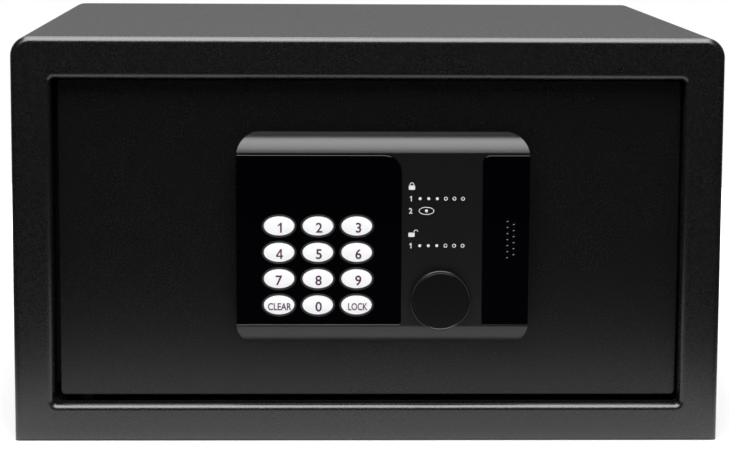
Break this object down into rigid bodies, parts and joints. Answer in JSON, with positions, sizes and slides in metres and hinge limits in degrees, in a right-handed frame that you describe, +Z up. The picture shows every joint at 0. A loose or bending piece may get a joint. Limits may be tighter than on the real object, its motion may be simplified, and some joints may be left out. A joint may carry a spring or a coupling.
{
  "type": "electronic laptop safe",
  "caption": "Steel safe with a recessed left-hinged front door, a code panel with oval keys, a covered emergency lock and motor-driven locking bolts.",
  "frame": {"origin": "centre of the cabinet's underside", "axes": "+Z up, -Y towards the viewer of the door, +X to that viewer's right, where the bolts throw"},
  "size_m": [0.43, 0.405, 0.247],
  "materials": {
    "powder_coat": "fine-textured satin black powder coat",
    "inside_paint": "matt black paint",
    "panel_plastic": "satin painted housing",
    "gloss_black": "polished black acrylic",
    "key_white": "smooth white with dark legends",
    "cap_plastic": "satin black moulding",
    "plain_steel": "zinc-plated steel",
    "chromed_steel": "bright chrome plate",
    "brass": "machined brass",
    "black_nylon": "moulded black nylon",
    "black_rubber": "matt black rubber",
    "cover_plastic": "fine-grained black moulding",
    "board_green": "green solder mask",
    "grey_felt": "needled grey felt",
    "cell_sleeve": "plain shrink sleeve"
  },
  "bodies": {
    "cabinet": {"cabinet_shell": "powder_coat", "floor_plate": "inside_paint", "rear_panel": "powder_coat", "door_jamb": "inside_paint", "bolt_keeper": "plain_steel", "hinge_guard": "inside_paint", "hinge_pin_lower": "plain_steel", "hinge_pin_upper": "plain_steel", "hinge_bush_lower": "black_nylon", "hinge_bush_upper": "black_nylon", "floor_plug_left": "black_rubber", "floor_plug_right": "black_rubber", "rear_plug_left": "black_rubber", "rear_plug_right": "black_rubber", "floor_mat": "grey_felt"},
    "door": {"door_plate": "powder_coat", "door_pan": "inside_paint", "door_back_cover": "cover_plastic", "cover_screw_1": "plain_steel", "cover_screw_2": "plain_steel", "cover_screw_3": "plain_steel", "cover_screw_4": "plain_steel", "bolt_guide": "plain_steel", "guide_stud_left": "plain_steel", "guide_stud_right": "plain_steel", "lock_motor": "plain_steel", "motor_bracket": "plain_steel", "lock_housing": "panel_plastic", "keypad_window": "gloss_black", "sound_strip": "gloss_black", "key_mat": "black_rubber", "circuit_board": "board_green", "display_module": "gloss_black", "buzzer": "black_rubber", "override_barrel": "chromed_steel", "battery_tray": "cover_plastic", "battery_cell_1": "cell_sleeve", "battery_cell_2": "cell_sleeve", "battery_cell_3": "cell_sleeve", "battery_cell_4": "cell_sleeve"},
    "bolts": {"bolt_carrier": "plain_steel", "locking_bolt_lower": "chromed_steel", "locking_bolt_upper": "chromed_steel"},
    "pinion": {"drive_pinion": "brass"},
    "lock_core": {"override_plug": "brass", "override_cam": "plain_steel"},
    "lock_cap": {"override_cap": "cap_plastic"},
    "battery_lid": {"battery_cover": "cover_plastic"},
    "button_1": {"key_1": "key_white"},
    "button_2": {"key_2": "key_white"},
    "button_3": {"key_3": "key_white"},
    "button_4": {"key_4": "key_white"},
    "button_5": {"key_5": "key_white"},
    "button_6": {"key_6": "key_white"},
    "button_7": {"key_7": "key_white"},
    "button_8": {"key_8": "key_white"},
    "button_9": {"key_9": "key_white"},
    "button_0": {"key_0": "key_white"},
    "button_clear": {"key_clear": "key_white"},
    "button_lock": {"key_lock": "key_white"}
  },
  "joints": [
    {"name": "door_swing", "type": "hinge", "parent": "cabinet", "child": "door", "pos_m": [-0.172, -0.178, 0.12345], "axis": [0, 0, -1], "range_deg": [0, 100]},
    {"name": "bolt_throw", "type": "slide", "parent": "door", "child": "bolts", "axis": [1, 0, 0], "range_m": [0, 0.016]},
    {"name": "pinion_spin", "type": "hinge", "parent": "door", "child": "pinion", "pos_m": [0.0952, -0.1795, 0.11525], "axis": [0, 1, 0], "range_deg": [0, 131]},
    {"name": "key_lock_turn", "type": "hinge", "parent": "door", "child": "lock_core", "pos_m": [0.044, -0.1815, 0.08775], "axis": [0, -1, 0], "range_deg": [0, 90]},
    {"name": "cap_pull", "type": "slide", "parent": "door", "child": "lock_cap", "axis": [0, -1, 0], "range_m": [0, 0.02]},
    {"name": "battery_lid_pull", "type": "slide", "parent": "door", "child": "battery_lid", "axis": [0, 1, 0], "range_m": [0, 0.015]},
    {"name": "press_1", "type": "slide", "parent": "door", "child": "button_1", "axis": [0, 1, 0], "range_m": [0, 0.0008], "stiffness_N_per_m": 1200},
    {"name": "press_2", "type": "slide", "parent": "door", "child": "button_2", "axis": [0, 1, 0], "range_m": [0, 0.0008], "stiffness_N_per_m": 1200},
    {"name": "press_3", "type": "slide", "parent": "door", "child": "button_3", "axis": [0, 1, 0], "range_m": [0, 0.0008], "stiffness_N_per_m": 1200},
    {"name": "press_4", "type": "slide", "parent": "door", "child": "button_4", "axis": [0, 1, 0], "range_m": [0, 0.0008], "stiffness_N_per_m": 1200},
    {"name": "press_5", "type": "slide", "parent": "door", "child": "button_5", "axis": [0, 1, 0], "range_m": [0, 0.0008], "stiffness_N_per_m": 1200},
    {"name": "press_6", "type": "slide", "parent": "door", "child": "button_6", "axis": [0, 1, 0], "range_m": [0, 0.0008], "stiffness_N_per_m": 1200},
    {"name": "press_7", "type": "slide", "parent": "door", "child": "button_7", "axis": [0, 1, 0], "range_m": [0, 0.0008], "stiffness_N_per_m": 1200},
    {"name": "press_8", "type": "slide", "parent": "door", "child": "button_8", "axis": [0, 1, 0], "range_m": [0, 0.0008], "stiffness_N_per_m": 1200},
    {"name": "press_9", "type": "slide", "parent": "door", "child": "button_9", "axis": [0, 1, 0], "range_m": [0, 0.0008], "stiffness_N_per_m": 1200},
    {"name": "press_0", "type": "slide", "parent": "door", "child": "button_0", "axis": [0, 1, 0], "range_m": [0, 0.0008], "stiffness_N_per_m": 1200},
    {"name": "press_clear", "type": "slide", "parent": "door", "child": "button_clear", "axis": [0, 1, 0], "range_m": [0, 0.0008], "stiffness_N_per_m": 1200},
    {"name": "press_lock", "type": "slide", "parent": "door", "child": "button_lock", "axis": [0, 1, 0], "range_m": [0, 0.0008], "stiffness_N_per_m": 1200}
  ],
  "couplings": [
    {"joint": "pinion_spin", "follows": "bolt_throw", "rad_per_m": 142.86}
  ]
}
